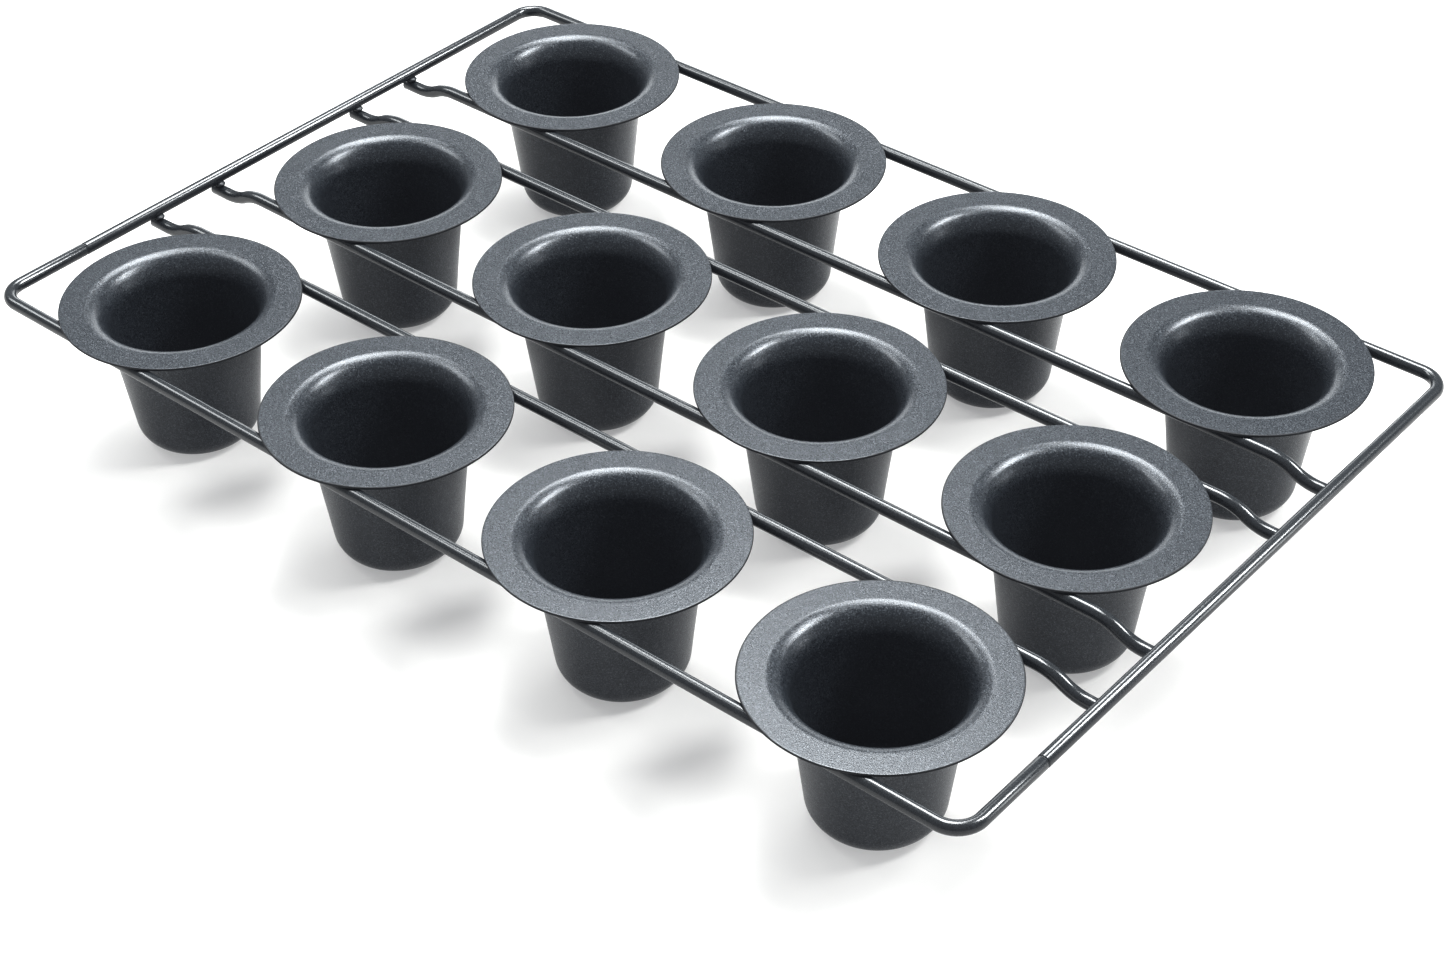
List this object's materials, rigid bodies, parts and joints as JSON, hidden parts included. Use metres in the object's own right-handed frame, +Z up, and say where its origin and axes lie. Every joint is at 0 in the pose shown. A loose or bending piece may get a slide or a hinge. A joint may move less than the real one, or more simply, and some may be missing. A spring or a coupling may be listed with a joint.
{
  "type": "popover pan",
  "caption": "Popover pan of tapered, flanged, non-stick steel cups hung in rows from a rectangular welded wire frame with stepped cross wires.",
  "frame": {"origin": "middle of the pan, on the surface that the cups stand on", "axes": "+X along a row of cups (the long side), +Y from the front row to the back row, +Z up out of the cups' mouths"},
  "size_m": [0.4012, 0.2712, 0.053],
  "materials": {
    "cup_coating": "charcoal non-stick coating on sheet steel, fine-grained satin",
    "wire_coating": "near-black coating on steel wire, smooth and glossier than the cups",
    "weld_coating": "resistance welds under the same near-black coating, slightly rougher"
  },
  "bodies": {
    "root": {"front_frame_wire": "wire_coating", "back_frame_wire": "wire_coating", "left_butt_weld": "weld_coating", "right_butt_weld": "weld_coating", "front_cup_1_weld_front": "weld_coating", "front_cup_2_weld_front": "weld_coating", "front_cup_3_weld_front": "weld_coating", "front_cup_4_weld_front": "weld_coating", "front_row_back_wire": "wire_coating", "front_row_back_wire_weld_left": "weld_coating", "front_row_back_wire_weld_right": "weld_coating", "front_cup_1_weld_back": "weld_coating", "front_cup_2_weld_back": "weld_coating", "front_cup_3_weld_back": "weld_coating", "front_cup_4_weld_back": "weld_coating", "front_cup_1": "cup_coating", "front_cup_2": "cup_coating", "front_cup_3": "cup_coating", "front_cup_4": "cup_coating", "middle_row_front_wire": "wire_coating", "middle_row_front_wire_weld_left": "weld_coating", "middle_row_front_wire_weld_right": "weld_coating", "middle_cup_1_weld_front": "weld_coating", "middle_cup_2_weld_front": "weld_coating", "middle_cup_3_weld_front": "weld_coating", "middle_cup_4_weld_front": "weld_coating", "middle_row_back_wire": "wire_coating", "middle_row_back_wire_weld_left": "weld_coating", "middle_row_back_wire_weld_right": "weld_coating", "middle_cup_1_weld_back": "weld_coating", "middle_cup_2_weld_back": "weld_coating", "middle_cup_3_weld_back": "weld_coating", "middle_cup_4_weld_back": "weld_coating", "middle_cup_1": "cup_coating", "middle_cup_2": "cup_coating", "middle_cup_3": "cup_coating", "middle_cup_4": "cup_coating", "back_row_front_wire": "wire_coating", "back_row_front_wire_weld_left": "weld_coating", "back_row_front_wire_weld_right": "weld_coating", "back_cup_1_weld_front": "weld_coating", "back_cup_2_weld_front": "weld_coating", "back_cup_3_weld_front": "weld_coating", "back_cup_4_weld_front": "weld_coating", "back_cup_1_weld_back": "weld_coating", "back_cup_2_weld_back": "weld_coating", "back_cup_3_weld_back": "weld_coating", "back_cup_4_weld_back": "weld_coating", "back_cup_1": "cup_coating", "back_cup_2": "cup_coating", "back_cup_3": "cup_coating", "back_cup_4": "cup_coating"}
  },
  "joints": []
}
